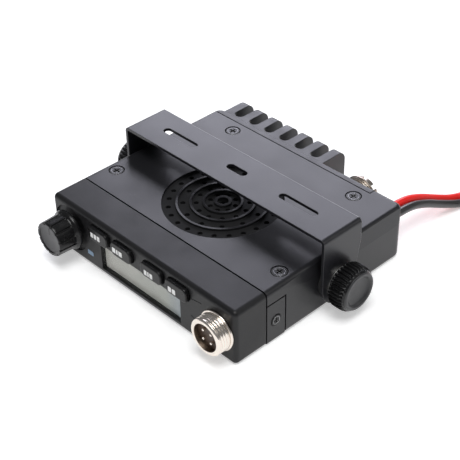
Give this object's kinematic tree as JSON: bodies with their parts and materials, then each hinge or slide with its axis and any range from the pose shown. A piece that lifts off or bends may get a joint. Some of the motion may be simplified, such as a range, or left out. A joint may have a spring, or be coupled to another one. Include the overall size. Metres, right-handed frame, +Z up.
{
  "type": "mobile transceiver",
  "caption": "Compact mobile radio transceiver with finned heat sink, speaker grille, front keys and knob, tilting U bracket on thumb screws and a supply lead.",
  "frame": {"origin": "on the face that the set lies on, on the width's middle line and 50 mm behind the front face", "axes": "+X across the width towards the microphone socket, -Y out of the front panel, +Y towards the heat sink, +Z up through the loudspeaker grille and the bracket's crossbar"},
  "size_m": [0.217, 0.1785, 0.0345],
  "materials": {
    "bezel_plastic": "moulded, fine spark texture",
    "clear_window": "clear acrylic, hard coat",
    "display_glass": "grey liquid crystal cell behind a diffuser",
    "light_frame": "white diffuser frame",
    "key_plastic": "moulded caps with pale printed marks",
    "knob_plastic": "moulded, satin",
    "nickel": "nickel plate, satin",
    "insulator_brown": "phenolic",
    "insulator_white": "turned fluoropolymer",
    "gold_contact": "gold flash on brass",
    "cover_paint": "fine satin powder coat",
    "cast_paint": "die-cast, black coated",
    "black_steel": "black oxide",
    "bracket_paint": "satin powder coat on sheet steel",
    "zinc_steel": "zinc plated",
    "rubber_black": "moulded",
    "wire_red": "soft insulation, satin",
    "wire_black": "soft insulation, satin",
    "connector_nylon": "natural nylon",
    "speaker_steel": "zinc plated pressing",
    "ferrite": "sintered",
    "cone_paper": "pressed paper",
    "surround_foam": "soft rubber roll",
    "copper_winding": "enamelled copper wire",
    "mesh_cloth": "woven dust cloth",
    "board_green": "glass laminate with green solder mask",
    "ribbon_white": "flat flexible cable",
    "black_package": "moulded component package",
    "capacitor_sleeve": "shrink sleeve",
    "tin_can": "tinned sheet"
  },
  "bodies": {
    "housing": {"front_bezel": "bezel_plastic", "display_lens": "clear_window", "display_panel": "display_glass", "display_frame": "light_frame", "tact_switches": "black_package", "encoder_body": "black_package", "mic_socket_shell": "nickel", "mic_socket_insulator": "insulator_brown", "mic_socket_pins": "nickel", "mic_socket_nut": "nickel", "cover_shell": "cover_paint", "cover_screws": "black_steel", "base_tray": "cover_paint", "ear_screws": "black_steel", "chassis": "cast_paint", "pivot_pads": "rubber_black", "antenna_socket": "nickel", "antenna_insulator": "insulator_white", "antenna_contact": "gold_contact", "antenna_nut": "nickel", "speaker_jack": "black_package", "supply_grommet": "rubber_black", "supply_lead_red": "wire_red", "supply_lead_black": "wire_black", "supply_connector": "connector_nylon", "supply_contacts": "gold_contact", "speaker_basket": "speaker_steel", "speaker_magnet": "ferrite", "speaker_yoke": "speaker_steel", "speaker_surround": "surround_foam", "dust_mesh": "mesh_cloth", "main_board": "board_green", "board_screws": "zinc_steel", "front_board": "board_green", "board_ribbon": "ribbon_white", "output_transistor": "black_package", "capacitors": "capacitor_sleeve", "coils": "copper_winding", "board_chips": "black_package", "shield_can": "tin_can"},
    "bracket": {"bracket": "bracket_paint"},
    "washer_left": {"thumb_washer_left": "zinc_steel"},
    "washer_right": {"thumb_washer_right": "zinc_steel"},
    "thumb_screw_left": {"thumb_knob_left": "knob_plastic", "thumb_stud_left": "zinc_steel"},
    "thumb_screw_right": {"thumb_knob_right": "knob_plastic", "thumb_stud_right": "zinc_steel"},
    "encoder_rotor": {"encoder_rotor": "black_package"},
    "knob": {"front_knob": "knob_plastic", "encoder_shaft": "zinc_steel"},
    "speaker_cone": {"speaker_cone": "cone_paper", "speaker_voice_coil": "copper_winding"},
    "key_1": {"key_1": "key_plastic", "switch_stem_1": "black_package"},
    "key_2": {"key_2": "key_plastic", "switch_stem_2": "black_package"},
    "key_3": {"key_3": "key_plastic", "switch_stem_3": "black_package"},
    "key_4": {"key_4": "key_plastic", "switch_stem_4": "black_package"}
  },
  "joints": [
    {"name": "bracket_tilt", "type": "hinge", "parent": "housing", "child": "bracket", "pos_m": [0, 0, 0.012], "axis": [1, 0, 0], "range_deg": [-32, 32]},
    {"name": "left_screw_advance", "type": "slide", "parent": "housing", "child": "washer_left", "axis": [-1, 0, 0], "range_m": [0, 0.0024]},
    {"name": "left_screw_turn", "type": "hinge", "parent": "washer_left", "child": "thumb_screw_left", "pos_m": [-0.058, 0, 0.012], "axis": [-1, 0, 0], "range_deg": [0, 1081]},
    {"name": "right_screw_advance", "type": "slide", "parent": "housing", "child": "washer_right", "axis": [1, 0, 0], "range_m": [0, 0.0024]},
    {"name": "right_screw_turn", "type": "hinge", "parent": "washer_right", "child": "thumb_screw_right", "pos_m": [0.058, 0, 0.012], "axis": [1, 0, 0], "range_deg": [0, 1081]},
    {"name": "knob_turn", "type": "hinge", "parent": "housing", "child": "encoder_rotor", "pos_m": [-0.0405, -0.045, 0.0125], "axis": [0, -1, 0], "continuous": true},
    {"name": "knob_push", "type": "slide", "parent": "encoder_rotor", "child": "knob", "axis": [0, 1, 0], "range_m": [0, 0.0005], "stiffness_N_per_m": 3000, "springref_m": -0.0006},
    {"name": "key_1_press", "type": "slide", "parent": "housing", "child": "key_1", "axis": [0, 1, 0], "range_m": [0, 0.0005], "stiffness_N_per_m": 1500, "springref_m": -0.0006},
    {"name": "key_2_press", "type": "slide", "parent": "housing", "child": "key_2", "axis": [0, 1, 0], "range_m": [0, 0.0005], "stiffness_N_per_m": 1500, "springref_m": -0.0006},
    {"name": "key_3_press", "type": "slide", "parent": "housing", "child": "key_3", "axis": [0, 1, 0], "range_m": [0, 0.0005], "stiffness_N_per_m": 1500, "springref_m": -0.0006},
    {"name": "key_4_press", "type": "slide", "parent": "housing", "child": "key_4", "axis": [0, 1, 0], "range_m": [0, 0.0005], "stiffness_N_per_m": 1500, "springref_m": -0.0006},
    {"name": "cone_stroke", "type": "slide", "parent": "housing", "child": "speaker_cone", "axis": [0, 0, 1], "range_m": [-0.0003, 0.0003], "stiffness_N_per_m": 1200, "deforming": ["speaker_surround"]}
  ],
  "couplings": [
    {"joint": "left_screw_turn", "follows": "left_screw_advance", "rad_per_m": 7854},
    {"joint": "right_screw_turn", "follows": "right_screw_advance", "rad_per_m": 7854}
  ]
}
